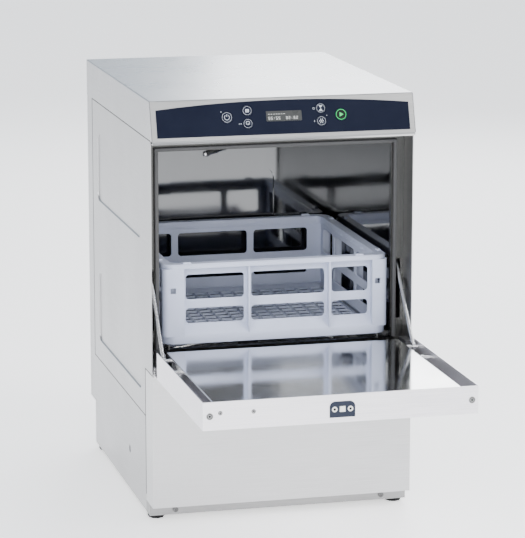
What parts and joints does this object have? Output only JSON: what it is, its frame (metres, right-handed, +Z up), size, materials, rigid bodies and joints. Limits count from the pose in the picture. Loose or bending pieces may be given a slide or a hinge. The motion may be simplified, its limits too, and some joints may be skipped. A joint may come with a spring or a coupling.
{
  "type": "commercial dishwasher",
  "caption": "Undercounter dishwasher with a drop-down door on sprung stays, a sliding square rack, rotating spray arms, a pump, a boiler and a push-button panel.",
  "frame": {"origin": "on the floor, under the middle of the bounding box with the door open", "axes": "+Z up, +Y from the open door towards the back of the machine, +X to the right seen from the front"},
  "size_m": [0.46, 0.9574, 0.733],
  "materials": {
    "body_steel": "brushed",
    "chamber_steel": "bright",
    "fastener_steel": "satin",
    "spring_steel": "satin",
    "arm_steel": "satin",
    "navy_overlay": "satin film",
    "display_glass": "clear",
    "button_blue": "satin",
    "circuit_board": "lacquered",
    "black_plastic": "matt",
    "catch_white": "satin",
    "gasket_rubber": "matt",
    "pump_plastic": "satin",
    "motor_metal": "satin",
    "boiler_steel": "satin",
    "rack_plastic": "satin"
  },
  "bodies": {
    "machine": {"base_frame": "body_steel", "lower_side_panel_left": "body_steel", "lower_side_panel_right": "body_steel", "side_panel_left": "body_steel", "side_panel_right": "body_steel", "lower_front_panel": "body_steel", "back_panel": "body_steel", "rear_cover": "body_steel", "top_cover": "body_steel", "control_fascia": "body_steel", "front_frame": "body_steel", "hinge_plates": "body_steel", "wash_chamber": "chamber_steel", "wash_tank": "chamber_steel", "rack_rails": "chamber_steel", "tank_filter": "chamber_steel", "suction_strainer": "chamber_steel", "casing_screws": "fastener_steel", "stay_springs": "spring_steel", "lower_arm_hub": "arm_steel", "upper_arm_hub": "arm_steel", "control_overlay": "navy_overlay", "display_window": "display_glass", "control_board": "circuit_board", "levelling_feet": "black_plastic", "access_plugs": "black_plastic", "cable_gland": "black_plastic", "door_switch": "black_plastic", "drain_outlet": "black_plastic", "door_gasket": "gasket_rubber", "wash_pump_housing": "pump_plastic", "wash_manifold": "pump_plastic", "rinse_manifold": "pump_plastic", "dosing_pumps": "pump_plastic", "inlet_valve": "pump_plastic", "wash_pump_motor": "motor_metal", "rinse_boiler": "boiler_steel", "tank_heater": "boiler_steel", "boiler_heater": "boiler_steel"},
    "door": {"door_outer_shell": "body_steel", "door_inner_panel": "chamber_steel", "door_hinge_brackets": "body_steel", "door_latch_plate": "fastener_steel", "door_screws": "fastener_steel", "stay_pins": "fastener_steel"},
    "door_stays": {"stay_rods": "fastener_steel"},
    "catch": {"door_catch": "catch_white"},
    "dish_rack": {"rack": "rack_plastic"},
    "lower_wash_spinner": {"lower_wash_arm": "arm_steel"},
    "lower_rinse_spinner": {"lower_rinse_arm": "arm_steel"},
    "upper_wash_spinner": {"upper_wash_arm": "arm_steel"},
    "upper_rinse_spinner": {"upper_rinse_arm": "arm_steel"},
    "impeller": {"wash_pump_impeller": "pump_plastic"},
    "overflow": {"overflow_pipe": "pump_plastic"},
    "power_button_body": {"power_button": "button_blue"},
    "program_button_body": {"program_button": "button_blue"},
    "temperature_button_body": {"temperature_button": "button_blue"},
    "cold_rinse_button_body": {"cold_rinse_button": "button_blue"},
    "drain_button_body": {"drain_button": "button_blue"},
    "start_button_body": {"start_button": "button_blue"}
  },
  "joints": [
    {"name": "door_hinge", "type": "hinge", "parent": "machine", "child": "door", "pos_m": [0, -0.09425, 0.2725], "axis": [-1, 0, 0], "range_deg": [0, 90]},
    {"name": "stay_pivot", "type": "hinge", "parent": "door", "child": "door_stays", "pos_m": [0, -0.14725, 0.3], "axis": [1, 0, 0], "range_deg": [0, 101], "deforming": ["stay_springs"]},
    {"name": "rack_slide", "type": "slide", "parent": "machine", "child": "dish_rack", "axis": [0, 1, 0], "range_m": [-0.285, 0]},
    {"name": "lower_wash_spin", "type": "hinge", "parent": "machine", "child": "lower_wash_spinner", "pos_m": [0, 0.1495, 0.268], "axis": [0, 0, 1], "continuous": true},
    {"name": "lower_rinse_spin", "type": "hinge", "parent": "machine", "child": "lower_rinse_spinner", "pos_m": [0, 0.1495, 0.2836], "axis": [0, 0, 1], "continuous": true},
    {"name": "upper_wash_spin", "type": "hinge", "parent": "machine", "child": "upper_wash_spinner", "pos_m": [0, 0.1495, 0.639], "axis": [0, 0, 1], "continuous": true},
    {"name": "upper_rinse_spin", "type": "hinge", "parent": "machine", "child": "upper_rinse_spinner", "pos_m": [0, 0.1495, 0.6235], "axis": [0, 0, 1], "continuous": true},
    {"name": "pump_spin", "type": "hinge", "parent": "machine", "child": "impeller", "pos_m": [0.09, 0.15775, 0.082], "axis": [0, 1, 0], "continuous": true},
    {"name": "overflow_lift", "type": "slide", "parent": "machine", "child": "overflow", "axis": [0, 0, 1], "range_m": [0, 0.035]},
    {"name": "catch_press", "type": "slide", "parent": "door", "child": "catch", "axis": [0, 1, 0], "range_m": [0, 0.002], "stiffness_N_per_m": 800, "springref_m": -0.002},
    {"name": "power_press", "type": "slide", "parent": "machine", "child": "power_button_body", "axis": [0, 0.9529, -0.3032], "range_m": [0, 0.0012], "stiffness_N_per_m": 400, "springref_m": -0.001},
    {"name": "program_press", "type": "slide", "parent": "machine", "child": "program_button_body", "axis": [0, 0.9529, -0.3032], "range_m": [0, 0.0012], "stiffness_N_per_m": 400, "springref_m": -0.001},
    {"name": "temperature_press", "type": "slide", "parent": "machine", "child": "temperature_button_body", "axis": [0, 0.9529, -0.3032], "range_m": [0, 0.0012], "stiffness_N_per_m": 400, "springref_m": -0.001},
    {"name": "cold_rinse_press", "type": "slide", "parent": "machine", "child": "cold_rinse_button_body", "axis": [0, 0.9529, -0.3032], "range_m": [0, 0.0012], "stiffness_N_per_m": 400, "springref_m": -0.001},
    {"name": "drain_press", "type": "slide", "parent": "machine", "child": "drain_button_body", "axis": [0, 0.9529, -0.3032], "range_m": [0, 0.0012], "stiffness_N_per_m": 400, "springref_m": -0.001},
    {"name": "start_press", "type": "slide", "parent": "machine", "child": "start_button_body", "axis": [0, 0.9529, -0.3032], "range_m": [0, 0.0012], "stiffness_N_per_m": 400, "springref_m": -0.001}
  ],
  "couplings": [
    {"joint": "stay_pivot", "follows": "door_hinge", "ratio": 1.1056}
  ]
}
